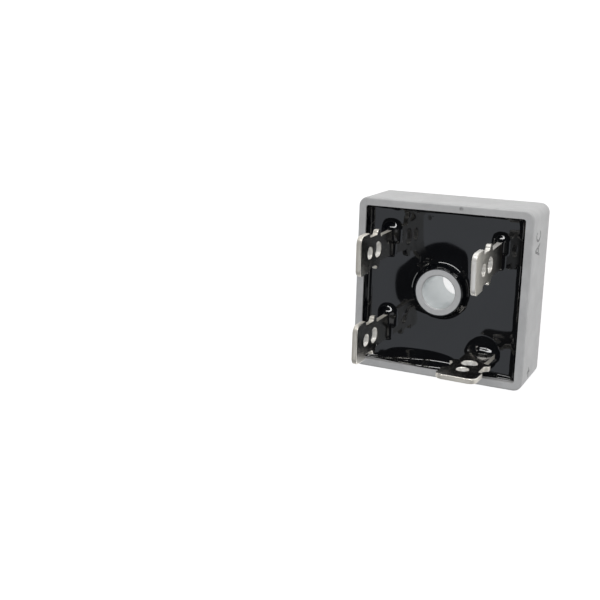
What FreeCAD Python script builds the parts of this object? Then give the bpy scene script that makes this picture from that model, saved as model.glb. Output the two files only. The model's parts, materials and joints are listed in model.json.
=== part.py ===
import FreeCAD, Part
import os
import Sketcher

# Square bridge rectifier module: a metal case with a centre post, four quick-connect
# terminals, and a ring of four silicon dice between copper plates, potted in resin.
# Frame: origin at the centre of the mounting face, +Z along the terminals,
# the marked side towards -Y. Lengths are in millimetres.

document = FreeCAD.newDocument("bridge_rectifier")
sheet = document.addObject("Spreadsheet::Sheet", "Sizes")

DIMENSIONS = {
    # case and centre post
    "case_side": 28.6,
    "case_height": 11.0,
    "case_wall": 1.3,
    "case_floor": 1.5,
    "case_corner_radius": 1.5,
    "cavity_corner_radius": 0.4,
    "rim_round": 0.35,
    "base_round": 0.6,
    "post_diameter": 8.0,
    "post_rise": 0.2,
    "post_chamfer": 0.15,
    "screw_bore_diameter": 5.4,
    "screw_bore_chamfer": 0.18,
    # circuit inside the resin
    "insulator_thickness": 0.5,
    "insulator_gap": 0.5,
    "conductor_gap": 1.5,
    "post_gap": 1.5,
    "plate_thickness": 0.8,
    "strap_thickness": 0.8,
    "plate_corner_cut": 0.8,
    "solder_thickness": 0.1,
    "solder_inset": 0.1,
    "die_thickness": 0.3,
    "die_margin": 0.4,
    # terminals
    "tab_rise": 12.55,
    "tab_width": 6.35,
    "tab_thickness": 0.8,
    "tab_corner_radius": 1.2,
    "tab_edge_radius": 0.35,
    "tab_lead_in": 0.12,
    "tab_bend_radius": 0.5,
    "head_length": 3.85,
    "waist_width": 4.9,
    "ear_width": 6.3,
    "ear_length": 1.6,
    "ear_flank_length": 0.25,
    "ear_drop": 7.55,
    "neck_width": 4.1,
    "wire_hole_diameter": 2.5,
    "wire_hole_drop": 7.35,
    "detent_hole_diameter": 1.9,
    "detent_hole_drop": 3.95,
    "foot_margin": 0.3,
    # places of the terminals: outwards from the middle of an arm, and inwards from the wall beside it
    "tab_offset": 0.55,
    "tab_side_distance": 5.85,
    "positive_offset": 0.95,
    "positive_side_distance": 5.45,
    # resin
    "resin_recess": 1.8,
    "resin_film": 0.12,
    "wall_meniscus": 1.3,
    "post_meniscus": 1.2,
    "tab_meniscus": 1.1,
}

for row, (alias, value) in enumerate(DIMENSIONS.items(), 1):
    sheet.set("A%d" % row, alias)
    sheet.set("B%d" % row, str(value))
    sheet.setAlias("B%d" % row, alias)
document.recompute()


def size(alias):
    return float(sheet.get(alias))


# Places across the case that several pieces share. An arm is one leg of a copper plate:
# it fills the room between the gap at the wall and the gap at the post.
cavity_half = "(Sizes.case_side / 2 - Sizes.case_wall)"
arm_outer = "(%s - Sizes.conductor_gap)" % cavity_half
arm_inner = "(Sizes.post_diameter / 2 + Sizes.post_gap)"
arm_width = "(%s - %s)" % (arm_outer, arm_inner)
arm_middle = "(%s + %s / 2)" % (arm_inner, arm_width)
die_side = "(%s - 2 * Sizes.die_margin)" % arm_width
tab_wall_place = "(%s + Sizes.tab_offset)" % arm_middle
tab_side_place = "(%s - Sizes.tab_side_distance)" % cavity_half
positive_wall_place = "(%s + Sizes.positive_offset)" % arm_middle
positive_side_place = "(%s - Sizes.positive_side_distance)" % cavity_half

# Levels, from the case's floor up.
plate_level = "(Sizes.case_floor + Sizes.insulator_thickness)"
plate_top = "(%s + Sizes.plate_thickness)" % plate_level
die_level = "(%s + Sizes.solder_thickness)" % plate_top
die_top = "(%s + Sizes.die_thickness)" % die_level
strap_level = "(%s + Sizes.solder_thickness)" % die_top
strap_top = "(%s + Sizes.strap_thickness)" % strap_level
resin_level = "(Sizes.case_height - Sizes.resin_recess)"
tab_tip = "(Sizes.case_height + Sizes.tab_rise)"

# A meniscus takes at most its share of the room between the positive tab and the wall.
tab_room = "(%s - %s - Sizes.tab_thickness / 2 - 2 * Sizes.resin_film)" % (cavity_half, positive_wall_place)
wall_curve_radius = "min(Sizes.wall_meniscus; 0.45 * %s)" % tab_room
tab_curve_radius = "min(Sizes.tab_meniscus; 0.45 * %s)" % tab_room

up = FreeCAD.Vector(0, 0, 1)
across = FreeCAD.Vector(1, 0, 0)
through = FreeCAD.Vector(0, 1, 0)


def origin_plane(body, role):
    for feature in body.Origin.OriginFeatures:
        if feature.Role == role:
            return feature
    raise ValueError("no origin plane named " + role)


def new_body(name):
    body = document.addObject("PartDesign::Body", name)
    body.Label = name
    return body


def place(item, along_x, along_y, along_z, turn=0):
    # Turn an item about the vertical, then bind its place to the sheet.
    item.Placement = FreeCAD.Placement(FreeCAD.Vector(0, 0, 0), FreeCAD.Rotation(up, turn))
    item.setExpression(".Placement.Base.x", along_x)
    item.setExpression(".Placement.Base.y", along_y)
    item.setExpression(".Placement.Base.z", along_z)


def new_sketch(body, name, role, level=None):
    sketch = body.newObject("Sketcher::SketchObject", name)
    sketch.AttachmentSupport = [(origin_plane(body, role), "")]
    sketch.MapMode = "FlatFace"
    if level is not None:
        sketch.setExpression(".AttachmentOffset.Base.z", level)
    return sketch


def add_distances(sketch, element, point, formulas):
    # Ties one point of an element to the sketch's origin, across and along.
    for kind, formula in zip(("DistanceX", "DistanceY"), formulas):
        index = sketch.addConstraint(Sketcher.Constraint(kind, -1, 1, element, point, 1.0))
        sketch.setExpression("Constraints[%d]" % index, formula)


def add_polygon(sketch, corners):
    # A closed outline of straight lines. Each corner is a pair of formulas.
    first = sketch.GeometryCount
    count = len(corners)
    starts = [FreeCAD.Vector(step, step * step, 0) for step in range(count)]
    for step in range(count):
        sketch.addGeometry(Part.LineSegment(starts[step], starts[(step + 1) % count]))
    for step, corner in enumerate(corners):
        following = first + (step + 1) % count
        sketch.addConstraint(Sketcher.Constraint("Coincident", first + step, 2, following, 1))
        add_distances(sketch, first + step, 1, corner)


def add_circle(sketch, radius, centre=("0", "0")):
    circle = sketch.addGeometry(Part.Circle(FreeCAD.Vector(0, 0, 0), up, 1.0))
    add_distances(sketch, circle, 3, centre)
    index = sketch.addConstraint(Sketcher.Constraint("Radius", circle, 1.0))
    sketch.setExpression("Constraints[%d]" % index, radius)


def rectangle(half_x, half_y, middle_x="0", middle_y="0"):
    left, right = ("%s - %s" % (middle_x, half_x), "%s + %s" % (middle_x, half_x))
    near, far = ("%s - %s" % (middle_y, half_y), "%s + %s" % (middle_y, half_y))
    return [(left, near), (right, near), (right, far), (left, far)]


def pad(body, sketch, name, length, side="One side"):
    feature = body.newObject("PartDesign::Pad", name)
    feature.Profile = sketch
    feature.SideType = side
    feature.setExpression("Length", length)
    document.recompute()


def pocket_down(body, sketch, name, length):
    feature = body.newObject("PartDesign::Pocket", name)
    feature.Profile = sketch
    feature.setExpression("Length", length)
    document.recompute()


def cut_through(body, sketch, name):
    feature = body.newObject("PartDesign::Pocket", name)
    feature.Profile = sketch
    feature.Type = "ThroughAll"
    feature.SideType = "Symmetric"
    document.recompute()


def dress_edges(body, kind, name, wanted, amount):
    # A fillet or chamfer on those edges of the body's newest feature that pass the test.
    base = body.Tip
    names = ["Edge%d" % index for index, edge in enumerate(base.Shape.Edges, 1) if wanted(edge)]
    feature = body.newObject("PartDesign::" + kind, name)
    feature.Base = (base, names)
    feature.setExpression("Radius" if kind == "Fillet" else "Size", amount)
    document.recompute()


def close(first, second):
    return abs(first - second) < 1e-4


def is_along(edge, direction):
    return isinstance(edge.Curve, Part.Line) and abs(edge.Curve.Direction.dot(direction)) > 0.999


def is_upright(edge):
    return is_along(edge, up)


def is_level_at(edge, height):
    return close(edge.BoundBox.ZMin, height) and close(edge.BoundBox.ZMax, height)


def is_circle(edge, radius):
    return isinstance(edge.Curve, Part.Circle) and close(edge.Curve.Radius, radius)


def reach(edge):
    # How far from the case's middle an edge extends, along X or Y.
    box = edge.BoundBox
    return max(-box.XMin, box.XMax, -box.YMin, box.YMax)


# The case: one casting with walls, floor and the post round the screw hole.
def make_case():
    body = new_body("case")
    height = size("case_height")
    half = size("case_side") / 2
    cavity = half - size("case_wall")

    block_sketch = new_sketch(body, "case_block_sketch", "XY_Plane")
    add_polygon(block_sketch, rectangle("Sizes.case_side / 2", "Sizes.case_side / 2"))
    pad(body, block_sketch, "case_block", "Sizes.case_height")
    dress_edges(body, "Fillet", "case_corners", is_upright, "Sizes.case_corner_radius")

    def is_cavity_corner(edge):
        return is_upright(edge) and close(abs(edge.CenterOfMass.x), cavity)

    cavity_sketch = new_sketch(body, "case_cavity_sketch", "XY_Plane", "Sizes.case_height")
    add_polygon(cavity_sketch, rectangle(cavity_half, cavity_half))
    pocket_down(body, cavity_sketch, "case_cavity", "Sizes.case_height - Sizes.case_floor")
    dress_edges(body, "Fillet", "cavity_corners", is_cavity_corner, "Sizes.cavity_corner_radius")

    post_sketch = new_sketch(body, "post_sketch", "XY_Plane", "Sizes.case_floor")
    add_circle(post_sketch, "Sizes.post_diameter / 2")
    pad(body, post_sketch, "post", "Sizes.case_height + Sizes.post_rise - Sizes.case_floor")

    bore_sketch = new_sketch(body, "screw_bore_sketch", "XY_Plane")
    add_circle(bore_sketch, "Sizes.screw_bore_diameter / 2")
    cut_through(body, bore_sketch, "screw_bore")

    def is_rim(edge):
        return is_level_at(edge, height) and reach(edge) > (half + cavity) / 2

    def is_base(edge):
        return is_level_at(edge, 0) and reach(edge) > (half + cavity) / 2

    def is_bore_end(edge):
        return is_circle(edge, size("screw_bore_diameter") / 2)

    def is_post_top(edge):
        return is_circle(edge, size("post_diameter") / 2) and is_level_at(edge, height + size("post_rise"))

    dress_edges(body, "Fillet", "rim_edge", is_rim, "min(Sizes.rim_round; 0.45 * Sizes.case_wall)")
    dress_edges(body, "Fillet", "base_edge", is_base, "Sizes.base_round")
    dress_edges(body, "Chamfer", "bore_ends", is_bore_end, "Sizes.screw_bore_chamfer")
    dress_edges(body, "Chamfer", "post_top", is_post_top, "Sizes.post_chamfer")
    return body


# The insulating sheet: a square that clears the walls, with a hole round the post.
def make_insulator():
    body = new_body("insulator_sheet")
    half = "(%s - Sizes.insulator_gap)" % cavity_half
    sketch = new_sketch(body, "insulator_sketch", "XY_Plane")
    add_polygon(sketch, rectangle(half, half))
    add_circle(sketch, "Sizes.post_diameter / 2 + Sizes.insulator_gap")
    pad(body, sketch, "insulator_pad", "Sizes.insulator_thickness")
    place(body, "0", "0", "Sizes.case_floor")
    return body


# A copper plate or strap: an angle round one corner of the cavity. Both arms run past
# the middle of a side by half their width, so that each holds a die there.
def make_angle_plate(name, turn, level, thickness):
    body = new_body(name)
    outer = "-" + arm_outer
    inner = "-" + arm_inner
    end = "%s / 2" % arm_width
    sketch = new_sketch(body, name + "_sketch", "XY_Plane")
    corners = [(outer, outer), (end, outer), (end, inner)]
    corners += [(inner, inner), (inner, end), (outer, end)]
    add_polygon(sketch, corners)
    pad(body, sketch, name + "_pad", thickness)
    dress_edges(body, "Chamfer", name + "_corners", is_upright, "Sizes.plate_corner_cut")
    place(body, "0", "0", level, turn)
    return body


# A flat slab centred on a place: a die or a layer of solder.
def make_slab(name, side_x, side_y, thickness, along_x, along_y, level):
    slab = document.addObject("Part::Box", name)
    slab.Label = name
    slab.setExpression("Length", side_x)
    slab.setExpression("Width", side_y)
    slab.setExpression("Height", thickness)
    place(slab, "%s - %s / 2" % (along_x, side_x), "%s - %s / 2" % (along_y, side_y), level)
    return slab


# One side of a tab's stamped outline, from the neck under the resin up to the tip.
def tab_side_outline(tip):
    ear_middle = "%s - Sizes.ear_drop" % tip
    head_end = "%s - Sizes.head_length" % tip
    return [
        ("Sizes.neck_width / 2", "-Sizes.tab_width"),
        ("Sizes.neck_width / 2", ear_middle + " - Sizes.ear_length / 2"),
        ("Sizes.ear_width / 2", ear_middle + " - Sizes.ear_length / 2 + Sizes.ear_flank_length"),
        ("Sizes.ear_width / 2", ear_middle + " + Sizes.ear_length / 2 - Sizes.ear_flank_length"),
        ("Sizes.waist_width / 2", ear_middle + " + Sizes.ear_length / 2"),
        ("Sizes.waist_width / 2", head_end),
        ("Sizes.tab_width / 2", head_end),
        ("Sizes.tab_width / 2", tip),
    ]


# A terminal: one stamped strip, bent into a foot at its lower end. In the body's own
# frame the tab stands over the origin and the foot runs towards +Y.
def make_terminal(name, along_x, along_y, turn, foot_level, foot_end):
    body = new_body(name)
    tip = "(%s - %s)" % (tab_tip, foot_level)
    near_face = "-Sizes.tab_thickness / 2"
    far_face = "Sizes.tab_thickness / 2"
    half = size("tab_thickness") / 2

    strip_sketch = new_sketch(body, name + "_strip_sketch", "YZ_Plane")
    strip = [(near_face, tip), (near_face, "0"), (foot_end, "0")]
    strip += [(foot_end, "Sizes.tab_thickness"), (far_face, "Sizes.tab_thickness"), (far_face, tip)]
    add_polygon(strip_sketch, strip)
    pad(body, strip_sketch, name + "_strip", "Sizes.tab_width", "Symmetric")

    def is_inner_bend(edge):
        middle = edge.CenterOfMass
        return is_along(edge, across) and close(middle.y, half) and close(middle.z, 2 * half)

    def is_outer_bend(edge):
        middle = edge.CenterOfMass
        return is_along(edge, across) and close(middle.y, -half) and close(middle.z, 0)

    outer_radius = "Sizes.tab_bend_radius + Sizes.tab_thickness"
    dress_edges(body, "Fillet", name + "_inner_bend", is_inner_bend, "Sizes.tab_bend_radius")
    dress_edges(body, "Fillet", name + "_outer_bend", is_outer_bend, outer_radius)

    # The outline is stamped by cutting away the waste between it and a larger rectangle.
    right_side = tab_side_outline(tip)
    left_side = [("-" + aside, along) for aside, along in reversed(right_side)]
    outline_sketch = new_sketch(body, name + "_outline_sketch", "XZ_Plane")
    add_polygon(outline_sketch, right_side + left_side)
    add_polygon(outline_sketch, rectangle("Sizes.tab_width", "(%s + 2 * Sizes.tab_width)" % tip))
    cut_through(body, outline_sketch, name + "_outline")

    top = body.Tip.Shape.BoundBox.ZMax
    shoulder = top - size("ear_drop") - size("ear_length")

    def is_tip_corner(edge):
        return is_along(edge, through) and close(edge.CenterOfMass.z, top)

    def is_tip_edge(edge):
        return is_along(edge, across) and close(edge.CenterOfMass.z, top)

    def is_small_corner(edge):
        return is_along(edge, through) and shoulder < edge.CenterOfMass.z < top - size("tab_corner_radius")

    # A small corner is rounded by no more than the shallow steps beside the waist allow.
    step = "(min(Sizes.ear_width; Sizes.tab_width) - Sizes.waist_width)"
    small_radius = "min(Sizes.tab_edge_radius; 0.24 * %s)" % step
    dress_edges(body, "Fillet", name + "_tip_corners", is_tip_corner, "Sizes.tab_corner_radius")
    dress_edges(body, "Chamfer", name + "_lead_in", is_tip_edge, "Sizes.tab_lead_in")
    dress_edges(body, "Fillet", name + "_small_corners", is_small_corner, small_radius)

    hole_sketch = new_sketch(body, name + "_hole_sketch", "XZ_Plane")
    add_circle(hole_sketch, "Sizes.wire_hole_diameter / 2", ("0", "%s - Sizes.wire_hole_drop" % tip))
    add_circle(hole_sketch, "Sizes.detent_hole_diameter / 2", ("0", "%s - Sizes.detent_hole_drop" % tip))
    cut_through(body, hole_sketch, name + "_holes")
    place(body, along_x, along_y, foot_level, turn)
    return body


# The solder under the flat of a foot, between the bend and the foot's end.
def make_foot_solder(name, along_x, along_y, turn, support_top, foot_end):
    bend_end = "(Sizes.tab_bend_radius + Sizes.tab_thickness / 2)"
    flat = "(%s - %s - Sizes.solder_inset)" % (foot_end, bend_end)
    width = "(Sizes.neck_width - 2 * Sizes.solder_inset)"
    middle = "(%s + %s / 2)" % (bend_end, flat)
    thickness = "Sizes.solder_thickness"
    if turn == -90:
        return make_slab(name, flat, width, thickness, "%s + %s" % (along_x, middle), along_y, support_top)
    slab_y = "%s %s %s" % (along_y, "+" if turn == 0 else "-", middle)
    return make_slab(name, width, flat, thickness, along_x, slab_y, support_top)


# Each terminal: name, place, turn, and the top of the plate or strap that it is soldered to.
# The positive tab is turned a quarter, which keys the module.
terminals = (
    ("positive", "-" + positive_wall_place, "-" + positive_side_place, -90, plate_top),
    ("negative", tab_side_place, tab_wall_place, 180, plate_top),
    ("ac_front", tab_side_place, "-" + tab_wall_place, 0, strap_top),
    ("ac_back", "-" + tab_side_place, tab_wall_place, 180, strap_top),
)

# Each die sits in the middle of one side of the case.
die_places = {
    "front": ("0", "-" + arm_middle),
    "back": ("0", arm_middle),
    "left": ("-" + arm_middle, "0"),
    "right": (arm_middle, "0"),
}


# The circuit: plates on the insulating sheet, dice on the plates, straps over the dice,
# and a terminal soldered to each plate and strap.
def make_circuit():
    plate_thickness = "Sizes.plate_thickness"
    strap_thickness = "Sizes.strap_thickness"
    pieces = [
        make_insulator(),
        make_angle_plate("positive_plate", 0, plate_level, plate_thickness),
        make_angle_plate("negative_plate", 180, plate_level, plate_thickness),
        make_angle_plate("ac_strap_front", 90, strap_level, strap_thickness),
        make_angle_plate("ac_strap_back", -90, strap_level, strap_thickness),
    ]
    solder_side = "(%s - 2 * Sizes.solder_inset)" % die_side
    for side, (die_x, die_y) in die_places.items():
        layers = (
            ("die_solder_lower_" + side, solder_side, "Sizes.solder_thickness", plate_top),
            ("die_" + side, die_side, "Sizes.die_thickness", die_level),
            ("die_solder_upper_" + side, solder_side, "Sizes.solder_thickness", die_top),
        )
        for name, length, thickness, level in layers:
            pieces.append(make_slab(name, length, length, thickness, die_x, die_y, level))
    for name, along_x, along_y, turn, support_top in terminals:
        foot_level = "(%s + Sizes.solder_thickness)" % support_top
        foot_offset = "Sizes.positive_offset" if name == "positive" else "Sizes.tab_offset"
        foot_end = "(%s / 2 + %s - Sizes.foot_margin)" % (arm_width, foot_offset)
        pieces.append(make_terminal("terminal_" + name, along_x, along_y, turn, foot_level, foot_end))
        pieces.append(make_foot_solder("foot_solder_" + name, along_x, along_y, turn, support_top, foot_end))
    document.recompute()
    return pieces


# The resin before anything is buried in it: a filling with a flat surface, and a raised
# meniscus where it wets the walls, the post and the tabs.
def make_resin_blank(tabs):
    body = new_body("resin_blank")
    level = size("case_height") - size("resin_recess")
    cavity = size("case_side") / 2 - size("case_wall")
    wall_film = cavity - size("resin_film")
    post_film = size("post_diameter") / 2 + size("resin_film")

    fill_sketch = new_sketch(body, "resin_fill_sketch", "XY_Plane", "Sizes.case_floor")
    add_polygon(fill_sketch, rectangle(cavity_half, cavity_half))
    pad(body, fill_sketch, "resin_fill", "%s - Sizes.case_floor" % resin_level)

    film_half = "(%s - Sizes.resin_film)" % cavity_half
    wall_sketch = new_sketch(body, "wall_film_sketch", "XY_Plane", resin_level)
    add_polygon(wall_sketch, rectangle(cavity_half, cavity_half))
    add_polygon(wall_sketch, rectangle(film_half, film_half))
    pad(body, wall_sketch, "wall_film", "%s + Sizes.resin_film" % wall_curve_radius)

    post_sketch = new_sketch(body, "post_film_sketch", "XY_Plane", resin_level)
    add_circle(post_sketch, "Sizes.post_diameter / 2 + Sizes.resin_film")
    pad(body, post_sketch, "post_film", "Sizes.post_meniscus + Sizes.resin_film")

    long_half = "(Sizes.neck_width / 2 + Sizes.resin_film)"
    short_half = "(Sizes.tab_thickness / 2 + Sizes.resin_film)"
    for name, along_x, along_y, turn, support_top in terminals:
        half_x, half_y = (short_half, long_half) if turn == -90 else (long_half, short_half)
        collar_sketch = new_sketch(body, name + "_collar_sketch", "XY_Plane", resin_level)
        add_polygon(collar_sketch, rectangle(half_x, half_y, along_x, along_y))
        pad(body, collar_sketch, name + "_collar", "%s + Sizes.resin_film" % tab_curve_radius)

    def is_cavity_corner(edge):
        return is_upright(edge) and close(abs(edge.CenterOfMass.x), cavity)

    def is_tab_root(edge):
        spot = edge.CenterOfMass
        gaps = [FreeCAD.Vector(spot.x - tab.x, spot.y - tab.y, 0).Length for tab in tabs]
        return is_level_at(edge, level) and min(gaps) < size("neck_width")

    def is_wall_root(edge):
        return is_level_at(edge, level) and close(reach(edge), wall_film)

    def is_post_root(edge):
        return is_level_at(edge, level) and is_circle(edge, post_film)

    dress_edges(body, "Fillet", "resin_corners", is_cavity_corner, "Sizes.cavity_corner_radius")
    dress_edges(body, "Fillet", "tab_curve", is_tab_root, tab_curve_radius)
    dress_edges(body, "Fillet", "wall_curve", is_wall_root, wall_curve_radius)
    dress_edges(body, "Chamfer", "post_cone", is_post_root, "Sizes.post_meniscus")
    return body


# The potting: the resin less the post and everything that is buried in it.
def make_potting(circuit):
    tabs = [piece.Placement.Base for piece in circuit if piece.Label.startswith("terminal_")]
    blank = make_resin_blank(tabs)
    post_core = document.addObject("Part::Cylinder", "post_core")
    post_core.setExpression("Radius", "Sizes.post_diameter / 2")
    post_core.setExpression("Height", "Sizes.case_height + Sizes.post_rise")
    buried = document.addObject("Part::MultiFuse", "buried_pieces")
    buried.Shapes = [post_core] + circuit
    buried.Refine = True
    potting = document.addObject("Part::Cut", "potting")
    potting.Base = blank
    potting.Tool = buried
    potting.Refine = True
    document.recompute()
    return potting


case = make_case()
circuit = make_circuit()
nodes = [case] + circuit + [make_potting(circuit)]

for item in document.Objects:
    if "Invalid" in item.State or "Error" in item.State:
        raise RuntimeError("%s failed: %s" % (item.Name, item.State))
for node in nodes:
    if node.Shape.isNull() or not node.Shape.isValid():
        raise RuntimeError("%s has no valid shape" % node.Label)
    if len(node.Shape.Solids) != 1:
        raise RuntimeError("%s has %d solids" % (node.Label, len(node.Shape.Solids)))

os.makedirs("parts", exist_ok=True)
for node in nodes:
    node.Shape.exportStep("parts/%s.step" % node.Label)
    print("%-28s %9.3f mm3" % (node.Label, node.Shape.Volume))
print("%d nodes written" % len(nodes))
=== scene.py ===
import json
import math
import bmesh
import bpy
from mathutils import Euler, Matrix, Vector, noise


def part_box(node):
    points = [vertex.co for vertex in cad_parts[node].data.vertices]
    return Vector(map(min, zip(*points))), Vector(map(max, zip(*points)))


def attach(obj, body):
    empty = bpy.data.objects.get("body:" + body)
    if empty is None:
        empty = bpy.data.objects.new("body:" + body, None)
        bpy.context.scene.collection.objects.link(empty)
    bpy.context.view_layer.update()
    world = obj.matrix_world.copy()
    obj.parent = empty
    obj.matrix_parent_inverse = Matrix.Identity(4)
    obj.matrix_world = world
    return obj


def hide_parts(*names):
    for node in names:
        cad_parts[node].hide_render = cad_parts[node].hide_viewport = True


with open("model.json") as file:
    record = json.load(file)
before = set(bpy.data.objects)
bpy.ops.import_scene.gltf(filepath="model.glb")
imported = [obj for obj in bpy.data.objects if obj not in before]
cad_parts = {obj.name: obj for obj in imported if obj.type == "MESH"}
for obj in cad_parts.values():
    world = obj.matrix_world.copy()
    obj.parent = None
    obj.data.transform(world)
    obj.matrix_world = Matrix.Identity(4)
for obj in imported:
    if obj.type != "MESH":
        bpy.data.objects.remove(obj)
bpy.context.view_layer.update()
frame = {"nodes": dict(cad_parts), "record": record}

# A square bridge rectifier: a metal case with a centre post, black resin and four quick-connect tabs.
# Sizes in the dictionaries are millimetres, and the meshes are metres.
mounts = {mount["name"]: mount for mount in frame["record"]["mounts"]}
mm = 0.001
weld = 1e-7  # metres, and points closer than this are one point
bpy.context.scene.view_settings.view_transform = "Standard"
print("frame loaded with", len(frame["nodes"]), "nodes")


# Camera, as it looked at the part in the photograph
cameraView = {
    "place": (35.488, -44.557, 153.528),
    "turn": (-11.8049, 27.4065, -88.6885),  # degrees about X, Y and Z
    "lens": 56.797,
    "shift": (0.03333, -0.05),
    "sensor": 36.0,
    "clip": (0.005, 10.0),  # metres
}


def makeCamera():
    data = bpy.data.cameras.new("camera")
    data.lens = cameraView["lens"]
    data.sensor_width = cameraView["sensor"]
    data.shift_x, data.shift_y = cameraView["shift"]
    data.clip_start, data.clip_end = cameraView["clip"]
    camera = bpy.data.objects.new("camera", data)
    camera.location = Vector(cameraView["place"]) * mm
    camera.rotation_euler = [math.radians(angle) for angle in cameraView["turn"]]
    bpy.context.scene.collection.objects.link(camera)
    bpy.context.scene.camera = camera


makeCamera()
print("camera set")


# Small helpers for node trees
def addNode(tree, kind, sockets=None, **settings):
    node = tree.nodes.new(kind)
    for name, value in settings.items():
        setattr(node, name, value)
    for name, value in (sockets or {}).items():
        node.inputs[name].default_value = value
    return node


def addMath(tree, operation, first, second=None):
    node = addNode(tree, "ShaderNodeMath", operation=operation)
    for index, value in enumerate((first, second)):
        if isinstance(value, (int, float)):
            node.inputs[index].default_value = value
        elif value is not None:
            tree.links.new(value, node.inputs[index])
    return node.outputs[0]


def addRange(tree, value, low, high, newLow=0.0, newHigh=1.0):
    # Moves a value smoothly from one range to another, and holds it at the ends
    sockets = {"From Min": low, "From Max": high, "To Min": newLow, "To Max": newHigh}
    node = addNode(tree, "ShaderNodeMapRange", sockets, interpolation_type="SMOOTHSTEP")
    tree.links.new(value, node.inputs["Value"])
    return node.outputs["Result"]


def addMix(tree, factor, first, second):
    # Mixes two colours. Each is a socket or a colour, and factor is a socket or a number.
    node = addNode(tree, "ShaderNodeMix", data_type="RGBA")
    for socket, value in ((node.inputs[0], factor), (node.inputs[6], first), (node.inputs[7], second)):
        if isinstance(value, bpy.types.NodeSocket):
            tree.links.new(value, socket)
        else:
            socket.default_value = value
    return node.outputs[2]


def grey(value, warm=0.0):
    return (value * (1 + warm), value, value * (1 - warm), 1.0)


def startGroup(name, inputs, outputs):
    group = bpy.data.node_groups.new(name, "ShaderNodeTree")
    for label, kind, value in inputs:
        socket = group.interface.new_socket(label, in_out="INPUT", socket_type=kind)
        socket.default_value = value
    for label, kind in outputs:
        group.interface.new_socket(label, in_out="OUTPUT", socket_type=kind)
    return group, addNode(group, "NodeGroupInput"), addNode(group, "NodeGroupOutput")


def addMillimetres(tree):
    # The surface point in millimetres
    coords = addNode(tree, "ShaderNodeTexCoord")
    scaled = addNode(tree, "ShaderNodeVectorMath", operation="SCALE")
    scaled.inputs["Scale"].default_value = 1 / mm
    tree.links.new(coords.outputs["Object"], scaled.inputs[0])
    return scaled.outputs[0]


# Shared effect: cloudy grain whose size is in millimetres, stretched where a finish has a direction
def makeGrainGroup():
    inputs = [
        ("Size", "NodeSocketFloat", 1.0),
        ("Squeeze", "NodeSocketVector", (1.0, 1.0, 1.0)),
        ("Shift", "NodeSocketFloat", 0.0),
        ("Detail", "NodeSocketFloat", 3.0),
    ]
    group, entry, leave = startGroup("grain", inputs, [("Mask", "NodeSocketFloat")])
    squeezed = addNode(group, "ShaderNodeVectorMath", operation="MULTIPLY")
    shifted = addNode(group, "ShaderNodeVectorMath", operation="ADD")
    clouds = addNode(group, "ShaderNodeTexNoise", {"Roughness": 0.55})
    group.links.new(addMillimetres(group), squeezed.inputs[0])
    group.links.new(entry.outputs["Squeeze"], squeezed.inputs[1])
    group.links.new(squeezed.outputs[0], shifted.inputs[0])
    group.links.new(entry.outputs["Shift"], shifted.inputs[1])
    group.links.new(shifted.outputs[0], clouds.inputs["Vector"])
    group.links.new(addMath(group, "DIVIDE", 1.0, entry.outputs["Size"]), clouds.inputs["Scale"])
    group.links.new(entry.outputs["Detail"], clouds.inputs["Detail"])
    group.links.new(clouds.outputs["Fac"], leave.inputs["Mask"])
    return group


# Shared effect: small round specks, such as dust or pits, scattered in cells of one size
def makeSpeckGroup():
    inputs = [
        ("Spacing", "NodeSocketFloat", 1.0),
        ("Radius", "NodeSocketFloat", 0.1),
        ("Share", "NodeSocketFloat", 0.3),
    ]
    smallest, edgeSharpness = 0.4, 2.0
    group, entry, leave = startGroup("specks", inputs, [("Mask", "NodeSocketFloat")])
    cells = addNode(group, "ShaderNodeTexVoronoi")
    group.links.new(addMillimetres(group), cells.inputs["Vector"])
    group.links.new(addMath(group, "DIVIDE", 1.0, entry.outputs["Spacing"]), cells.inputs["Scale"])
    distance = addMath(group, "MULTIPLY", cells.outputs["Distance"], entry.outputs["Spacing"])
    parts = addNode(group, "ShaderNodeSeparateColor")
    group.links.new(cells.outputs["Color"], parts.inputs[0])
    chosen = addMath(group, "LESS_THAN", parts.outputs["Red"], entry.outputs["Share"])
    size = addMath(group, "ADD", parts.outputs["Green"], smallest)
    reach = addMath(group, "MULTIPLY", entry.outputs["Radius"], size)
    inside = addMath(group, "SUBTRACT", 1.0, addMath(group, "DIVIDE", distance, reach))
    raised = addMath(group, "MAXIMUM", 0.0, addMath(group, "MULTIPLY", inside, edgeSharpness))
    speck = addMath(group, "MINIMUM", 1.0, raised)
    group.links.new(addMath(group, "MULTIPLY", speck, chosen), leave.inputs["Mask"])
    return group


grainGroup = makeGrainGroup()
speckGroup = makeSpeckGroup()


def addGrain(tree, size, squeeze=(1, 1, 1), shift=0.0, detail=3.0):
    # A shift of its own keeps each mask different from the others
    sockets = {"Size": size, "Squeeze": squeeze, "Shift": shift, "Detail": detail}
    return addNode(tree, "ShaderNodeGroup", sockets, node_tree=grainGroup).outputs["Mask"]


def addClouds(tree, size, shift=0.0, low=0.3, high=0.7):
    # Grain with more contrast, from 0 to 1
    return addRange(tree, addGrain(tree, size, shift=shift), low, high)


def addSpecks(tree, spacing, radius, share):
    sockets = {"Spacing": spacing, "Radius": radius, "Share": share}
    return addNode(tree, "ShaderNodeGroup", sockets, node_tree=speckGroup).outputs["Mask"]


def addBump(tree, height, depth):
    # depth is in millimetres between a mask's 0 and 1
    node = addNode(tree, "ShaderNodeBump", {"Strength": 1.0, "Distance": depth * mm})
    tree.links.new(height, node.inputs["Height"])
    return node.outputs["Normal"]


def startMaterial(name, sockets):
    material = bpy.data.materials.new(name)
    material.use_nodes = True
    tree = material.node_tree
    shader = tree.nodes["Principled BSDF"]
    for socket, value in sockets.items():
        shader.inputs[socket].default_value = value
    return material, tree, shader


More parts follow.
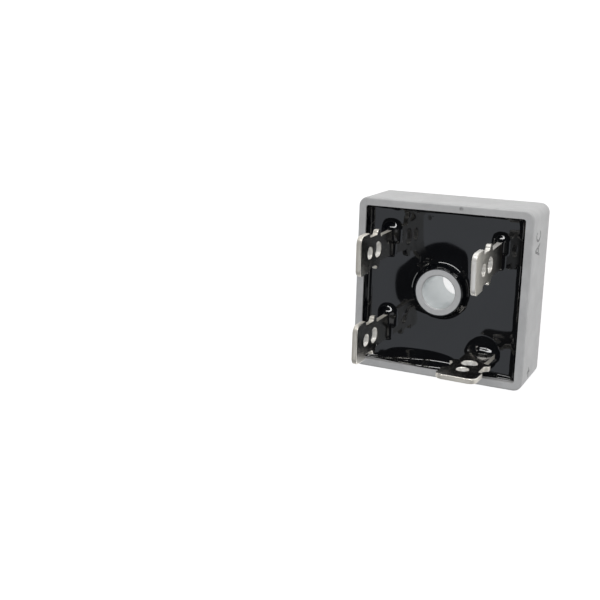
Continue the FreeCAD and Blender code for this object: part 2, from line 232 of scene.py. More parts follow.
def addPlaceParts(tree):
    # The surface point in metres, split into X, Y and Z
    coords = addNode(tree, "ShaderNodeTexCoord")
    parts = addNode(tree, "ShaderNodeSeparateXYZ")
    tree.links.new(coords.outputs["Object"], parts.inputs[0])
    return parts.outputs


def addDistance(tree, place, centre):
    # How far the surface point lies from a centre, both in metres. An axis whose centre is None is left out.
    total = None
    for axis, middle in zip(place, centre):
        if middle is None:
            continue
        gap = addMath(tree, "SUBTRACT", axis, middle)
        square = addMath(tree, "MULTIPLY", gap, gap)
        total = square if total is None else addMath(tree, "ADD", total, square)
    return addMath(tree, "SQRT", total)


# Case finish: matt silver grey, with a machined post end and a smooth bore
caseFinish = {
    "grey": 0.575,
    "darkGrey": 0.515,
    "cloudSize": 2.6,
    "mottleSize": 0.55,
    "mottleShare": 0.3,
    "mottleLift": 1.08,
    "pits": (0.9, 0.11, 0.16),  # spacing, radius and the share of cells that hold one
    "pitGrey": 0.2,
    "pitShare": 0.22,
    "pitDepth": 1.2,  # in sand grains
    "sandSize": 0.12,
    "sandDepth": 0.008,
    "specular": 0.4,
    "metal": 0.2,
    "roughness": 0.5,
    "roughnessUneven": 0.06,
    "postRadius": 4.15,
    "postGrey": 0.6,
    "postDarker": 0.95,
    "postTint": -0.01,  # of its darker patches, and below 0 is cool
    "lipRadius": 2.87,  # outer edge of the bore's chamfer, which is left duller
    "lipGrey": 0.5,
    "boreRadius": 2.705,
    "bore": (0.80, 0.83, 0.835, 1.0),
    "boreMetal": 0.7,
    "boreRoughness": 0.4,
    "zoneEdge": 0.02,
    "postZoneEdge": 0.1,
    "smudge": (13.7, -2.9, 11.0),
    "smudgeCore": 0.1,
    "smudgeRadius": 0.5,
    "smudgeShare": 0.75,
    "smudgeGrey": 0.12,
}


def makeCaseMaterial():
    finish = caseFinish
    material, tree, shader = startMaterial("caseMetal", {"Specular IOR Level": finish["specular"]})
    place = addPlaceParts(tree)[:3]
    radius = addDistance(tree, place, (0, 0, None))

    def zone(outer, edge):
        # 1 within a radius round the screw hole's axis, and 0 outside
        return addRange(tree, radius, outer * mm, (outer + edge) * mm, 1.0, 0.0)

    clouds = addClouds(tree, finish["cloudSize"])
    mottle = addClouds(tree, finish["mottleSize"], 7.0)
    pits = addSpecks(tree, *finish["pits"])
    body = addMix(tree, clouds, grey(finish["darkGrey"]), grey(finish["grey"]))
    lift = grey(finish["grey"] * finish["mottleLift"])
    body = addMix(tree, addMath(tree, "MULTIPLY", mottle, finish["mottleShare"]), body, lift)
    body = addMix(tree, addMath(tree, "MULTIPLY", pits, finish["pitShare"]), body, grey(finish["pitGrey"]))
    away = addDistance(tree, place, [axis * mm for axis in finish["smudge"]])
    core, edge = finish["smudgeCore"] * mm, finish["smudgeRadius"] * mm
    smudge = addRange(tree, away, core, edge, finish["smudgeShare"], 0.0)
    body = addMix(tree, addMath(tree, "MULTIPLY", smudge, mottle), body, grey(finish["smudgeGrey"]))

    darkTurned = grey(finish["postGrey"] * finish["postDarker"], finish["postTint"])
    turned = addMix(tree, mottle, grey(finish["postGrey"]), darkTurned)
    isLip = zone(finish["lipRadius"] - finish["zoneEdge"], finish["zoneEdge"])
    turned = addMix(tree, isLip, turned, grey(finish["lipGrey"]))
    isPost = zone(finish["postRadius"], finish["postZoneEdge"])
    isBore = zone(finish["boreRadius"], finish["zoneEdge"])
    colour = addMix(tree, isBore, addMix(tree, isPost, body, turned), finish["bore"])
    tree.links.new(colour, shader.inputs["Base Color"])
    metal = addRange(tree, isBore, 0.0, 1.0, finish["metal"], finish["boreMetal"])
    tree.links.new(metal, shader.inputs["Metallic"])

    smoothest = finish["roughness"] - finish["roughnessUneven"]
    roughest = finish["roughness"] + finish["roughnessUneven"]
    matt = addRange(tree, mottle, 0.0, 1.0, smoothest, roughest)
    polish = addMath(tree, "MULTIPLY", isBore, finish["roughness"] - finish["boreRoughness"])
    tree.links.new(addMath(tree, "SUBTRACT", matt, polish), shader.inputs["Roughness"])
    sand = addGrain(tree, finish["sandSize"], shift=3.0, detail=2.0)
    height = addMath(tree, "SUBTRACT", sand, addMath(tree, "MULTIPLY", pits, finish["pitDepth"]))
    height = addMath(tree, "MULTIPLY", height, addMath(tree, "SUBTRACT", 1.0, isBore))
    tree.links.new(addBump(tree, height, finish["sandDepth"]), shader.inputs["Normal"])
    return material


# Resin finish: glossy black epoxy with a little dust
resinFinish = {
    "black": (0.0022, 0.0026, 0.0036, 1.0),
    "haze": (0.0042, 0.0046, 0.0058, 1.0),
    "hazeSize": 4.5,
    "hazeRange": (0.35, 0.75),
    "refraction": 1.58,
    "roughness": (0.045, 0.06),  # where it is clear and where it is hazy
    "dust": (1.6, 0.06, 0.1),  # spacing, radius and the share of cells that hold a grain
    "dustGrey": 0.1,
    "dustShare": 0.4,
    "dustRoughness": 0.3,
    "rippleSize": 2.6,
    "rippleDepth": 0.002,
}


def makeResinMaterial():
    finish = resinFinish
    material, tree, shader = startMaterial("blackResin", {"IOR": finish["refraction"], "Metallic": 0.0})
    haze = addClouds(tree, finish["hazeSize"], 0.0, *finish["hazeRange"])
    dust = addSpecks(tree, *finish["dust"])
    colour = addMix(tree, haze, finish["black"], finish["haze"])
    dusty = addMath(tree, "MULTIPLY", dust, finish["dustShare"])
    colour = addMix(tree, dusty, colour, grey(finish["dustGrey"]))
    tree.links.new(colour, shader.inputs["Base Color"])
    gloss = addRange(tree, haze, 0.0, 1.0, *finish["roughness"])
    rough = addMath(tree, "ADD", gloss, addMath(tree, "MULTIPLY", dust, finish["dustRoughness"]))
    tree.links.new(rough, shader.inputs["Roughness"])
    ripple = addGrain(tree, finish["rippleSize"], shift=11.0, detail=1.0)
    tree.links.new(addBump(tree, ripple, finish["rippleDepth"]), shader.inputs["Normal"])
    return material


# Tab finishes: tin plate, satin along the strip, and its cut edges. One tab has lost its shine. The cut
# edges come as a whitened copy, a painted highlight, and a darker copy, painted shade.
tinFinishes = {
    "tinPlate": {
        "colours": ((0.87, 0.84, 0.78, 1.0), (0.83, 0.805, 0.75, 1.0), (0.74, 0.70, 0.63, 1.0)),
        "roughness": 0.2,
        "squeeze": 0.4,
        "metal": 1.0,
    },
    "tinScuffed": {
        "colours": ((0.61, 0.59, 0.53, 1.0), (0.57, 0.55, 0.50, 1.0), (0.51, 0.49, 0.44, 1.0)),
        "roughness": 0.3,
        "squeeze": 0.4,
        "metal": 1.0,
    },
    # Cut metal whitened and made less metallic: a painted highlight, used on the holes' walls and on
    # ac_front's edges
    "paintedHighlightCut": {
        "colours": ((0.93, 0.91, 0.87, 1.0), (0.88, 0.86, 0.82, 1.0), (0.70, 0.66, 0.60, 1.0)),
        "roughness": 0.32,
        "squeeze": 1.0,
        "metal": 0.4,
    },
    # The same cut metal, darker: painted shade, used on the edges of every tab but ac_front
    "paintedShadeCut": {
        "colours": ((0.72, 0.69, 0.62, 1.0), (0.66, 0.63, 0.57, 1.0), (0.52, 0.48, 0.42, 1.0)),
        "roughness": 0.34,
        "squeeze": 1.0,
        "metal": 0.4,
    },
}
tinGrain = {
    "cloudSize": 3.2,
    "cloudRange": (0.35, 0.65),
    "patchSize": 1.4,
    "patchRange": (0.45, 0.7),
    "patchShare": 0.2,
    "patchRoughness": 0.05,
    "lineSize": 0.9,
    "lineRoughness": 0.03,
    "lineDepth": 0.0005,
}


def makeTinMaterial(name):
    finish = tinFinishes[name]
    material, tree, shader = startMaterial(name, {"Metallic": finish["metal"]})
    clouds = addClouds(tree, tinGrain["cloudSize"], 2.0, *tinGrain["cloudRange"])
    patches = addClouds(tree, tinGrain["patchSize"], 5.0, *tinGrain["patchRange"])
    lines = addGrain(tree, tinGrain["lineSize"], squeeze=(1, 1, finish["squeeze"]), detail=2.0)
    first, second, patch = finish["colours"]
    colour = addMix(tree, clouds, first, second)
    colour = addMix(tree, addMath(tree, "MULTIPLY", patches, tinGrain["patchShare"]), colour, patch)
    tree.links.new(colour, shader.inputs["Base Color"])
    roughest = finish["roughness"] + tinGrain["patchRoughness"]
    satin = addRange(tree, patches, 0.0, 1.0, finish["roughness"], roughest)
    streaks = addMath(tree, "MULTIPLY", lines, tinGrain["lineRoughness"])
    tree.links.new(addMath(tree, "ADD", satin, streaks), shader.inputs["Roughness"])
    tree.links.new(addBump(tree, lines, tinGrain["lineDepth"]), shader.inputs["Normal"])
    return material


# Hidden pieces, by material slot: copper, silicon, solder and the insulating sheet
hiddenFinishes = {
    "copper": {
        "name": "copperSheet",
        "colours": ((0.72, 0.40, 0.28, 1), (0.58, 0.29, 0.20, 1)),
        "metal": 1.0,
        "roughness": 0.34,
        "grainSize": 2.5,
        "grainDepth": 0.004,
    },
    "silicon": {
        "name": "siliconDie",
        "colours": ((0.10, 0.11, 0.13, 1), (0.15, 0.16, 0.19, 1)),
        "metal": 0.6,
        "roughness": 0.18,
        "grainSize": 1.5,
        "grainDepth": 0.001,
    },
    "solder": {
        "name": "solderLayer",
        "colours": ((0.55, 0.56, 0.57, 1), (0.42, 0.43, 0.45, 1)),
        "metal": 1.0,
        "roughness": 0.4,
        "grainSize": 0.9,
        "grainDepth": 0.008,
    },
    "insulator": {
        "name": "ceramicSheet",
        "colours": ((0.82, 0.81, 0.78, 1), (0.74, 0.73, 0.70, 1)),
        "metal": 0.0,
        "roughness": 0.7,
        "grainSize": 3.0,
        "grainDepth": 0.006,
    },
}
hiddenGrain = {
    "fineShare": 0.12,  # of the grain size
    "fineRange": (0.2, 0.8),
    "roughness": (-0.06, 0.08),  # added where the fine grain is low and where it is high
}


def makeHiddenMaterial(finish):
    material, tree, shader = startMaterial(finish["name"], {"Metallic": finish["metal"]})
    clouds = addClouds(tree, finish["grainSize"])
    fine = addGrain(tree, finish["grainSize"] * hiddenGrain["fineShare"], shift=4.0)
    tree.links.new(addMix(tree, clouds, *finish["colours"]), shader.inputs["Base Color"])
    smoothest, roughest = (finish["roughness"] + change for change in hiddenGrain["roughness"])
    rough = addRange(tree, fine, *hiddenGrain["fineRange"], smoothest, roughest)
    tree.links.new(rough, shader.inputs["Roughness"])
    tree.links.new(addBump(tree, fine, finish["grainDepth"]), shader.inputs["Normal"])
    return material


caseMetal = makeCaseMaterial()
blackResin = makeResinMaterial()
tinMaterials = {name: makeTinMaterial(name) for name in tinFinishes}
hiddenMaterials = {slot: makeHiddenMaterial(finish) for slot, finish in hiddenFinishes.items()}


def dressNodes():
    slots = {part["node"]: part["material_slot"] for part in frame["record"]["subparts"]}
    for name, node in frame["nodes"].items():
        finish = caseMetal if name == "case" else hiddenMaterials.get(slots[name])
        if finish is None:
            continue
        node.data.materials.clear()
        node.data.materials.append(finish)


dressNodes()
print("materials made")


# Small helpers for meshes
def pick(items, kind):
    return [item for item in items if isinstance(item, kind)]


def mirrorHalf(shape):
    bmesh.ops.mirror(shape, geom=shape.verts[:] + shape.edges[:] + shape.faces[:], matrix=Matrix.Identity(4),
                     merge_dist=weld, axis="X")
    bmesh.ops.remove_doubles(shape, verts=shape.verts[:], dist=weld)


def thicken(shape, depth):
    # Pulls a flat shape out along Y
    grown = bmesh.ops.extrude_face_region(shape, geom=shape.faces[:], use_keep_orig=True)
    bmesh.ops.translate(shape, verts=pick(grown["geom"], bmesh.types.BMVert), vec=(0, depth, 0))
    bmesh.ops.recalc_face_normals(shape, faces=shape.faces[:])


def countOpenEdges(shape):
    return sum(1 for edge in shape.edges if len(edge.link_faces) != 2)


def addPiece(name, shape, materials, replaced=None, sharpAngle=32, flatArea=None):
    mesh = bpy.data.meshes.new(name)
    shape.to_mesh(mesh)
    shape.free()
    for material in materials:
        mesh.materials.append(material)
    # Marking sharp edges makes every face smooth, so it comes before the flat faces
    mesh.set_sharp_from_angle(angle=math.radians(sharpAngle))
    for face in mesh.polygons:
        face.use_smooth = flatArea is None or face.area < flatArea * mm * mm
    piece = bpy.data.objects.new(name, mesh)
    bpy.context.scene.collection.objects.link(piece)
    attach(piece, "root")
    if replaced:
        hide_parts(replaced)
    return piece


# Tabs: stamped tin-plated strip with two holes, ears and a bent foot under the resin
tab = {
    "width": 6.35,
    "headLength": 3.85,
    "waistWidth": 4.9,
    "earWidth": 6.3,
    "earLength": 1.6,
    "earFlank": 0.25,
    "earDrop": 7.55,
    "neckWidth": 4.1,
    "tipCorner": 1.2,
    "smallCorner": 0.34,
    "bendRadius": 0.5,
    "frontRounding": 0.11,
    "backRounding": 0.16,
    "foldAngle": 0.9,  # radians, and edges that fold by more are rounded
    "edgeSlope": 0.5,  # faces whose normal has less along the thickness are cut edges
    "slack": 0.01,  # how closely two sizes are compared
    "holeSlack": 0.02,  # how far outside its radius a hole's wall is looked for
    "cornerSteps": 7,
    "holeSteps": 18,
    "bendSteps": 8,
    "roundingSteps": 3,
    "flatArea": 1.5,  # larger faces are shaded flat
}
# Edge finishes: ac_front's cut edges take the whitened painted highlight, the other tabs the darker painted
# shade
tabPlaces = {  # turn about Z, lean about X and Y, all in degrees, and the finishes
    "positive": {"turn": -90, "lean": (-1.5, -0.5), "plate": "tinPlate", "edge": "paintedShadeCut"},
    "negative": {"turn": 180, "lean": (0.4, -0.9), "plate": "tinPlate", "edge": "paintedShadeCut"},
    "ac_front": {"turn": 0, "lean": (-0.45, -3.1), "plate": "tinScuffed", "edge": "paintedHighlightCut"},
    "ac_back": {"turn": 180, "lean": (0.1, 0.0), "plate": "tinPlate", "edge": "paintedShadeCut"},
}


def tabFrame(name):
    # The tab's place: turned to its side, then leaning about its foot, as hand-set tabs do
    tip = Vector(mounts["tab_" + name]["pos_m"])
    foot = Vector((tip.x, tip.y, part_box("terminal_" + name)[0].z))
    lean = Euler([math.radians(angle) for angle in (*tabPlaces[name]["lean"], 0)]).to_matrix().to_4x4()
    turn = Matrix.Rotation(math.radians(tabPlaces[name]["turn"]), 4, "Z")
    return Matrix.Translation(foot) @ lean @ turn @ Matrix.Translation((0, 0, -foot.z))


def tabOutline(tip, bend):
    # Right half of the stamped outline from the tip down: across, height, corner radius
    head = tip - tab["headLength"]
    earTop = tip - tab["earDrop"] + tab["earLength"] / 2
    earFoot = tip - tab["earDrop"] - tab["earLength"] / 2
    small = tab["smallCorner"]
    return [
        (tab["width"] / 2, tip, tab["tipCorner"]),
        (tab["width"] / 2, head, small),
        (tab["waistWidth"] / 2, head, small),
        (tab["waistWidth"] / 2, earTop, small),
        (tab["earWidth"] / 2, earTop - tab["earFlank"], small),
        (tab["earWidth"] / 2, earFoot + tab["earFlank"], small),
        (tab["neckWidth"] / 2, earFoot, small),
        (tab["neckWidth"] / 2, bend, 0),
    ]


def drawTab(shape, tip, bend, near, holes):
    # Right half of the front face, down the outline and up round the holes, and then its mirror image
    outline = tabOutline(tip, bend)
    points = [(0, tip)] + [corner[:2] for corner in outline] + [(0, bend)]
    chain = [shape.verts.new((across * mm, near * mm, height * mm)) for across, height in points]
    for first, second in zip(chain, chain[1:]):
        shape.edges.new((first, second))
    last = chain[-1]
    for hole in holes:
        middle = hole["pos_m"][2]
        radius = hole["dims"]["r_mm"] * mm
        start = shape.verts.new((0, near * mm, middle - radius))
        shape.edges.new((last, start))
        arc = bmesh.ops.spin(shape, geom=[start], cent=(0, near * mm, middle), axis=(0, -1, 0),
                             dvec=(0, 0, 0), angle=math.pi, steps=tab["holeSteps"], use_merge=False)
        last = pick(arc["geom_last"], bmesh.types.BMVert)[0]
    shape.edges.new((last, chain[0]))
    bmesh.ops.contextual_create(shape, geom=shape.edges[:])
    for vert, corner in zip(chain[1:-1], outline):
        if corner[2]:
            bmesh.ops.bevel(shape, geom=[vert], offset=corner[2] * mm, offset_type="OFFSET",
                            segments=tab["cornerSteps"], profile=0.5, affect="VERTICES", clamp_overlap=False,
                            material=-1)
    mirrorHalf(shape)


def footReach(node, tipPlace):
    # How far the CAD part's foot runs out from the tab's middle. The strip's half width doesn't count.
    reaches = []
    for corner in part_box(node):
        for side, middle in zip(corner[:2], tipPlace[:2]):
            reach = abs(side / mm - middle)
            if abs(reach - tab["width"] / 2) > tab["slack"]:
                reaches.append(reach)
    return max(reaches)


def bendFoot(shape, thickness, bend, reach):
    # The bend turns the neck's end from down to sideways, and the foot runs on from it
    hinge = thickness / 2 + tab["bendRadius"]
    ends = [face for face in shape.faces if all(abs(vert.co.z - bend * mm) < weld for vert in face.verts)]
    turned = bmesh.ops.spin(shape, geom=ends, cent=(0, hinge * mm, bend * mm), axis=(1, 0, 0),
                            dvec=(0, 0, 0), angle=math.pi / 2, steps=tab["bendSteps"], use_merge=False)
    tips = pick(turned["geom_last"], bmesh.types.BMFace)
    bmesh.ops.delete(shape, geom=[face for face in ends if face.is_valid], context="FACES_ONLY")
    foot = bmesh.ops.extrude_face_region(shape, geom=tips)
    moved = pick(foot["geom"], bmesh.types.BMVert)
    bmesh.ops.translate(shape, verts=moved, vec=(0, (reach - hinge) * mm, 0))
    bmesh.ops.delete(shape, geom=[face for face in tips if face.is_valid], context="FACES_ONLY")
    bmesh.ops.remove_doubles(shape, verts=shape.verts[:], dist=weld)
    loose = [edge for edge in shape.edges if not edge.link_faces]
    bmesh.ops.delete(shape, geom=loose, context="EDGES")
    bmesh.ops.recalc_face_normals(shape, faces=shape.faces[:])


def roundEdges(shape, bend, near):
    # Stamping rounds the edges of both faces, a little more on the back
    low = (bend + tab["slack"]) * mm
    for side, width in ((near, tab["frontRounding"]), (-near, tab["backRounding"])):
        rim = [edge for edge in shape.edges if edge.calc_face_angle(0) > tab["foldAngle"]
               and all(abs(vert.co.y - side * mm) < weld and vert.co.z > low for vert in edge.verts)]
        bmesh.ops.bevel(shape, geom=rim, offset=width * mm, offset_type="OFFSET",
                        segments=tab["roundingSteps"], profile=0.5, affect="EDGES", clamp_overlap=True,
                        material=-1)


def markCutFaces(shape, bend, holes):
    # Material 1 is the cut edge and 2 is a hole's wall, which takes the whitened cut finish, a painted
    # highlight. Both show only above the resin.
    for face in shape.faces:
        centre = face.calc_center_median()
        if centre.z <= bend * mm or abs(face.normal.y) >= tab["edgeSlope"]:
            continue
        face.material_index = 1
        for hole in holes:
            radius = (hole["dims"]["r_mm"] + tab["holeSlack"]) * mm
            if math.hypot(centre.x, centre.z - hole["pos_m"][2]) < radius:
                face.material_index = 2


def makeTab(name):
    node = "terminal_" + name
    tipPlace = Vector(mounts["tab_" + name]["pos_m"]) / mm
    holes = [mounts[kind + name] for kind in ("wire_hole_", "detent_hole_")]
    thickness = holes[0]["dims"]["length_mm"]
    near = -thickness / 2
    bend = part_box(node)[0].z / mm + thickness + tab["bendRadius"]
    shape = bmesh.new()
    drawTab(shape, tipPlace.z, bend, near, holes)
    thicken(shape, thickness * mm)
    bendFoot(shape, thickness, bend, footReach(node, tipPlace))
    print(node, "open edges", countOpenEdges(shape))
    roundEdges(shape, bend, near)
    markCutFaces(shape, bend, holes)
    bmesh.ops.transform(shape, matrix=tabFrame(name), verts=shape.verts[:])
    # The third slot, the holes' walls, takes the whitened cut finish, a painted highlight
    finishes = [tinMaterials[tabPlaces[name]["plate"]], tinMaterials[tabPlaces[name]["edge"]],
                tinMaterials["paintedHighlightCut"]]
    return addPiece("tab_" + name, shape, finishes, node, flatArea=tab["flatArea"])


for tabName in tabPlaces:
    makeTab(tabName)
print("tabs made")


# Resin: flat in the middle, and drawn up where it wets the walls, the post and the tabs
resin = {
    "level": 9.2,
    "floor": 1.5,
    "wall": 13.0,
    "wallCorner": 0.4,
    "wallFilms": ((1.25, 0.12), (0.3, 0.14), (1.25, 0.42), (1.25, 0.3)),  # rise and reach, +X -X +Y -Y
    "wallFoot": (0.22, 0.55),  # rise and reach
    "wallUneven": (0.35, 0.5, 2.0),  # share, waves per millimetre and place in the noise
    "post": 4.0,
    "postFoot": (0.68, 1.35),
    "postFilm": (1.0, 0.42),
    "postEdge": 0.22,  # reach of foot and film on the post's -X and -Y sides
    "postSide": 40,  # direction of the long side, in degrees from +X to +Y
    "postSpread": (1.1, 0.55),  # how fast and how far round the reach grows towards that side
    "lapWidth": 0.27,  # how far the film laps over the post's edge
    "lapLevels": (11.07, 11.225),  # at the post's side and on its top
    "lapStart": (0.08, 0.06),  # where the lap begins outside the post, and how soon it is full
    "tabEdge": (0.35, 0.6, 2.0),  # rise, reach and steepness along a tab's sides
    "domes": {  # rise, flat radius and outer radius at a tab's +X end, or over the turned tab's whole root
        "positive": (0.7, 0.6, 3.05),
        "negative": (1.2, 0.0, 1.8),
        "ac_front": (0.95, 0.0, 1.45),
        "ac_back": (1.2, 0.0, 1.8),
    },
    "collar": (0.6, 0.25, 1.0),  # a second, oval step round the turned tab, in shares of its half sizes
    "collarSize": (3.2, 1.45),
    "lowBulge": {"width": 0.5, "swell": 0.95, "middle": -1.0, "length": 7.0, "steepness": 0.66},  # -X wall
    "spill": (0.55, 0.0, 2.9),  # a thicker run against the -X wall
    "spillPlace": (3.0, 5.5),  # its middle and half length along Y
    "blisters": ((-3.9, -4.7, 0.8, 0.05), (-4.2, 5.5, 0.7, 0.03), (11.6, 2.2, 0.5, 0.05)),
    "uneven": (0.1, 0.3, 9.0),
    "ripple": (0.01, 0.2, 4.0),
    "around": 384,
    "rings": 88,
}


def wallReach(angle):
    # How far the cavity's rounded square lies from the middle, in a direction
    half, corner = resin["wall"], resin["wallCorner"]
    across, along = abs(math.cos(angle)), abs(math.sin(angle))
    reach = half / max(across, along)
    inner = half - corner
    if min(across, along) * reach > inner:
        toCorner = inner * (across + along)
        reach = toCorner + math.sqrt(toCorner * toCorner - 2 * inner * inner + corner * corner)
    return reach


def softStep(share):
    # From 0 to 1 with a soft start and a soft end
    share = min(max(share, 0), 1)
    return share * share * (3 - 2 * share)


def swell(distance, form):
    # A height that fades with distance
    height, reach = form
    return height * math.exp(-max(distance, 0) / reach)


def fillet(distance, form):
    # A height that runs out at its reach
    height, reach, steepness = form
    return height * max(1 - max(distance, 0) / reach, 0) ** steepness


def dome(distance, form):
    # A smooth step down from the flat radius to the outer radius
    height, flat, outer = form
    return height * softStep((outer - distance) / (outer - flat))


def hump(place, middle, length):
    # 1 in the middle, fading to both sides
    return math.exp(-(((place - middle) / length) ** 2))


def waves(placeX, placeY, form):
    # Smooth irregular waves, up and down from 0
    size, pace, layer = form
    return size * noise.noise(Vector((placeX * pace, placeY * pace, layer)))


def postRise(gap, direction):
    # Foot and film of the resin that climbs the post. It spreads further on one side.
    growth, start = resin["postSpread"]
    share = softStep(math.cos(direction - math.radians(resin["postSide"])) * growth + start)
    height, footLength = resin["postFoot"]
    filmHeight, filmLength = resin["postFilm"]
    edge = resin["postEdge"]
    foot = swell(gap, (height, edge + (footLength - edge) * share))
    return foot, swell(gap, (filmHeight, edge + (filmLength - edge) * share))


def lapOver(gap, rise):
    # Close to the post, the resin leaves its own height and laps over the post's edge
    low, high = resin["lapLevels"]
    start, length = resin["lapStart"]
    lapRise = low + (high - low) * min(max(-gap, 0) / (resin["lapWidth"] / 2), 1) - resin["level"]
    share = min(max((start - gap) / length, 0), 1)
    return rise + (lapRise - rise) * share


tabRoots = {name: tabFrame(name).inverted() for name in tabPlaces}
endSides = {"negative": -1, "ac_front": 1, "ac_back": -1}  # the side of each tab's own X axis that faces +X


def tabRise(name, placeX, placeY):
    # A fillet along the tab's sides, and a dome at its end or over the turned tab's whole root
    local = tabRoots[name] @ Vector((placeX * mm, placeY * mm, resin["level"] * mm)) / mm
    halfNeck = tab["neckWidth"] / 2
    halfThick = mounts["wire_hole_" + name]["dims"]["length_mm"] / 2
    gap = math.hypot(max(abs(local.x) - halfNeck, 0), max(abs(local.y) - halfThick, 0))
    if name not in endSides:
        along, across = resin["collarSize"]
        top = dome(math.hypot(local.x, local.y), resin["domes"][name])
        top += dome(math.hypot(local.x / along, local.y / across), resin["collar"])
    else:
        end = endSides[name]
        past = max(abs(local.x) - halfNeck, 0) if local.x * end > 0 else abs(local.x - end * halfNeck)
        top = dome(math.hypot(past, local.y), resin["domes"][name])
    return max(fillet(gap, resin["tabEdge"]), top)


def resinRise(placeX, placeY):
    half = resin["wall"]
    walls = [half - placeX, half + placeX, half - placeY, half + placeY]
    rise = sum(swell(gap, resin["wallFoot"]) for gap in walls)
    rise *= 1 + waves(placeX, placeY, resin["wallUneven"])
    films = [swell(gap, form) for gap, form in zip(walls, resin["wallFilms"])]
    rise += dome(half + placeX, resin["spill"]) * hump(placeY, *resin["spillPlace"])
    bulge = resin["lowBulge"]
    width = bulge["width"] + bulge["swell"] * hump(placeY, bulge["middle"], bulge["length"])
    films.append(dome(half + placeX, (bulge["steepness"] * width, 0, width)))
    postGap = math.hypot(placeX, placeY) - resin["post"]
    foot, postFilm = postRise(postGap, math.atan2(placeY, placeX))
    rise += foot
    films.append(postFilm)
    for name in tabPlaces:
        rise += tabRise(name, placeX, placeY)
    for across, along, radius, height in resin["blisters"]:
        rise += height * hump(math.hypot(placeX - across, placeY - along), 0, radius)
    rise *= 1 + waves(placeX, placeY, resin["uneven"])
    rise += max(films) + waves(placeX, placeY, resin["ripple"])
    return lapOver(postGap, rise)


def makeResin():
    start = resin["post"] - resin["lapWidth"]
    shape = bmesh.new()
    bmesh.ops.create_circle(shape, cap_ends=False, segments=resin["around"], radius=start * mm)
    inner = shape.edges[:]
    ring = inner
    for step in range(1, resin["rings"] + 1):
        # The rings lie closer together at the post and at the walls
        share = 0.5 - 0.5 * math.cos(math.pi * step / resin["rings"])
        grown = bmesh.ops.extrude_edge_only(shape, edges=ring)
        ring = pick(grown["geom"], bmesh.types.BMEdge)
        for vert in pick(grown["geom"], bmesh.types.BMVert):
            angle = math.atan2(vert.co.y, vert.co.x)
            distance = start + (wallReach(angle) - start) * share
            vert.co.x = distance * math.cos(angle) * mm
            vert.co.y = distance * math.sin(angle) * mm
    for vert in shape.verts:
        vert.co.z = (resin["level"] + resinRise(vert.co.x / mm, vert.co.y / mm)) * mm
    print("resin highest", max(vert.co.z for vert in shape.verts) / mm)

    # Both rims drop to the cavity's floor, and a flat ring closes the underside
    floor = resin["floor"] * mm
    lowEdges = []
    for rim in (inner, ring):
        grown = bmesh.ops.extrude_edge_only(shape, edges=rim)
        for vert in pick(grown["geom"], bmesh.types.BMVert):
            vert.co.z = floor
        lowEdges += [edge for edge in pick(grown["geom"], bmesh.types.BMEdge)
                     if all(abs(vert.co.z - floor) < weld for vert in edge.verts)]
    bmesh.ops.bridge_loops(shape, edges=lowEdges)
    bmesh.ops.recalc_face_normals(shape, faces=shape.faces[:])
    print("resin open edges", countOpenEdges(shape), "faces", len(shape.faces))
    return addPiece("potting_resin", shape, [blackResin], "potting", sharpAngle=75)


makeResin()
print("resin made")


# Marks: a plus and AC in thin dark ink, read with the terminals upwards
marks = {
    "face": -14.3,
    "depth": 0.01,
    "proud": 0.015,
    "stroke": 0.36,
    "plus": {"place": (-11.95, 7.25), "size": (1.6, 1.6)},
    "letterA": {"place": (7.78, 7.45), "size": (2.05, 2.9), "bar": (0.24, 0.36), "top": 0.55, "leg": 1.1},
    "letterC": {"place": (10.12, 7.45), "size": (2.0, 2.95), "open": 48, "steps": 24},
}
inkFinish = {
    "dark": 0.14,
    "light": 0.27,
    "toneSize": 1.1,
    "worn": 0.46,
    "wornSize": 0.35,
    "wornRange": (0.5, 0.62),
    "roughness": (0.55, 0.7),
}


def plusOutline(mark):
    half, arm = marks["stroke"] / 2, mark["size"][0] / 2
    points = []
    for quarter in range(4):
        turn = Matrix.Rotation(quarter * math.pi / 2, 2)
        points += [turn @ Vector(point) for point in ((arm, -half), (arm, half), (half, half))]
    return points


def letterAOutline(mark):
    # The right half, from the top down and back up the inside
    wide, tall = mark["size"]
    top, leg = marks["stroke"] * mark["top"], marks["stroke"] * mark["leg"]
    low, high = (share * tall for share in mark["bar"])

    def outer(height):
        return wide / 2 + (top - wide / 2) * height / tall

    apex = tall * (wide / 2 - leg) / (wide / 2 - top)
    points = [(0, tall), (top, tall), (wide / 2, 0), (wide / 2 - leg, 0), (outer(low) - leg, low), (0, low),
              (0, high), (outer(high) - leg, high), (0, apex)]
    return [(across, height - tall / 2) for across, height in points]


def letterCOutline(mark):
    # An outer and an inner arc of an ellipse
    start, steps = math.radians(mark["open"]), mark["steps"]
    angles = [start + (2 * math.pi - 2 * start) * step / steps for step in range(steps + 1)]
    outer = [side / 2 for side in mark["size"]]
    inner = [side - marks["stroke"] for side in outer]
    arc = [(outer[0] * math.cos(angle), outer[1] * math.sin(angle)) for angle in angles]
    back = [(inner[0] * math.cos(angle), inner[1] * math.sin(angle)) for angle in reversed(angles)]
    return arc + back


def makeInkMaterial():
    finish = inkFinish
    material, tree, shader = startMaterial("printInk", {"Metallic": 0.0})
    worn = addClouds(tree, finish["wornSize"], 8.0, *finish["wornRange"])
    tone = addClouds(tree, finish["toneSize"], 1.0)
    ink = addMix(tree, tone, grey(finish["dark"]), grey(finish["light"]))
    tree.links.new(addMix(tree, worn, ink, grey(finish["worn"])), shader.inputs["Base Color"])
    tree.links.new(addRange(tree, tone, 0.0, 1.0, *finish["roughness"]), shader.inputs["Roughness"])
    return material


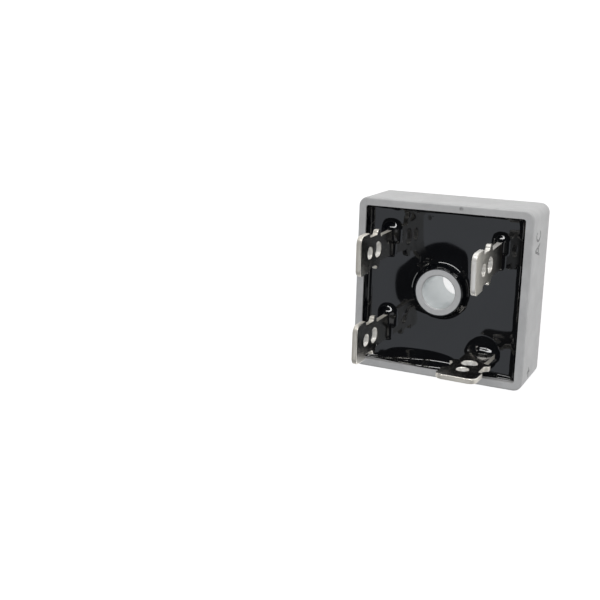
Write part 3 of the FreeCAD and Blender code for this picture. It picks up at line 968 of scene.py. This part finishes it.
def makeMark(name, outline, mirrored, material):
    mark = marks[name]
    shape = bmesh.new()
    shape.faces.new([shape.verts.new((across * mm, 0, height * mm)) for across, height in outline(mark)])
    if mirrored:
        mirrorHalf(shape)
    bmesh.ops.translate(shape, verts=shape.verts[:], vec=(0, marks["depth"] * mm, 0))
    thicken(shape, -(marks["depth"] + marks["proud"]) * mm)
    place = (mark["place"][0] * mm, marks["face"] * mm, mark["place"][1] * mm)
    bmesh.ops.translate(shape, verts=shape.verts[:], vec=place)
    print("mark", name, "open edges", countOpenEdges(shape))
    return addPiece("mark_" + name, shape, [material])


printInk = makeInkMaterial()
makeMark("plus", plusOutline, False, printInk)
makeMark("letterA", letterAOutline, True, printInk)
makeMark("letterC", letterCOutline, False, printInk)
print("marks made")


# Lamps: a long one beyond the photo's top edge, weak ones at the sides, and a dim one overhead
lamps = {
    "keyLamp": {"place": (525, -126, 271), "size": (927, 66), "radiance": 9.3},
    "sideLamp": {"place": (-60, -560, 160), "size": (300, 200), "radiance": 0.6},
    "farLamp": {"place": (-20, 620, 170), "size": (260, 120), "radiance": 1.6},
    "skyLamp": {"place": (-193.5, -12, 500), "size": (273, 456), "radiance": 0.57, "down": True,
                "colour": (0.93, 0.98, 1.06)},
}
lampAim = (0, 0, 8)
wattsPerRadiance = 4  # for each square metre of a lamp
stage = {
    "sky": {"camera": 1.0, "part": 0.43, "mirrored": 0.04},  # strength as each kind of ray sees it
    "floorSize": 2.0,  # metres
    "floorDrop": 0.01,
    "floorGrey": 0.5,
    "floorRoughness": 0.8,
    "floorGlow": 0.79,  # keeps the floor white, and its shadow faint
}


def makeLamps():
    for name, lamp in lamps.items():
        data = bpy.data.lights.new(name, "AREA")
        data.shape = "RECTANGLE"
        data.size, data.size_y = (side * mm for side in lamp["size"])
        data.energy = wattsPerRadiance * data.size * data.size_y * lamp["radiance"]
        data.color = lamp.get("colour", (1, 1, 1))
        light = bpy.data.objects.new(name, data)
        light.location = Vector(lamp["place"]) * mm
        if not lamp.get("down"):
            aim = Vector(lampAim) * mm - light.location
            light.rotation_euler = aim.to_track_quat("-Z", "Y").to_euler()
        bpy.context.scene.collection.objects.link(light)


def makeWorld():
    strengths = stage["sky"]
    world = bpy.data.worlds.new("studio")
    world.use_nodes = True
    tree = world.node_tree
    sky = tree.nodes["Background"]
    path = addNode(tree, "ShaderNodeLightPath")
    brighter = strengths["camera"] - strengths["part"]
    dimmer = strengths["part"] - strengths["mirrored"]
    seen = addMath(tree, "MULTIPLY", path.outputs["Is Camera Ray"], brighter)
    mirrored = addMath(tree, "MULTIPLY", path.outputs["Is Glossy Ray"], dimmer)
    strength = addMath(tree, "SUBTRACT", addMath(tree, "ADD", seen, strengths["part"]), mirrored)
    tree.links.new(strength, sky.inputs["Strength"])
    sky.inputs["Color"].default_value = grey(1.0)
    bpy.context.scene.world = world


def makeFloor():
    shape = bmesh.new()
    bmesh.ops.create_grid(shape, x_segments=1, y_segments=1, size=stage["floorSize"])
    bmesh.ops.translate(shape, verts=shape.verts[:], vec=(0, 0, -stage["floorDrop"] * mm))
    mesh = bpy.data.meshes.new("floor")
    shape.to_mesh(mesh)
    shape.free()
    floor = bpy.data.objects.new("floor", mesh)
    bpy.context.scene.collection.objects.link(floor)
    sockets = {
        "Base Color": grey(stage["floorGrey"]),
        "Roughness": stage["floorRoughness"],
        "Emission Color": grey(1.0),
    }
    material, tree, shader = startMaterial("paleFloor", sockets)
    path = addNode(tree, "ShaderNodeLightPath")
    seen = addMath(tree, "MAXIMUM", path.outputs["Is Camera Ray"], path.outputs["Is Glossy Ray"])
    tree.links.new(addMath(tree, "MULTIPLY", seen, stage["floorGlow"]), shader.inputs["Emission Strength"])
    mesh.materials.append(material)


makeLamps()
makeWorld()
makeFloor()
print("stage made")
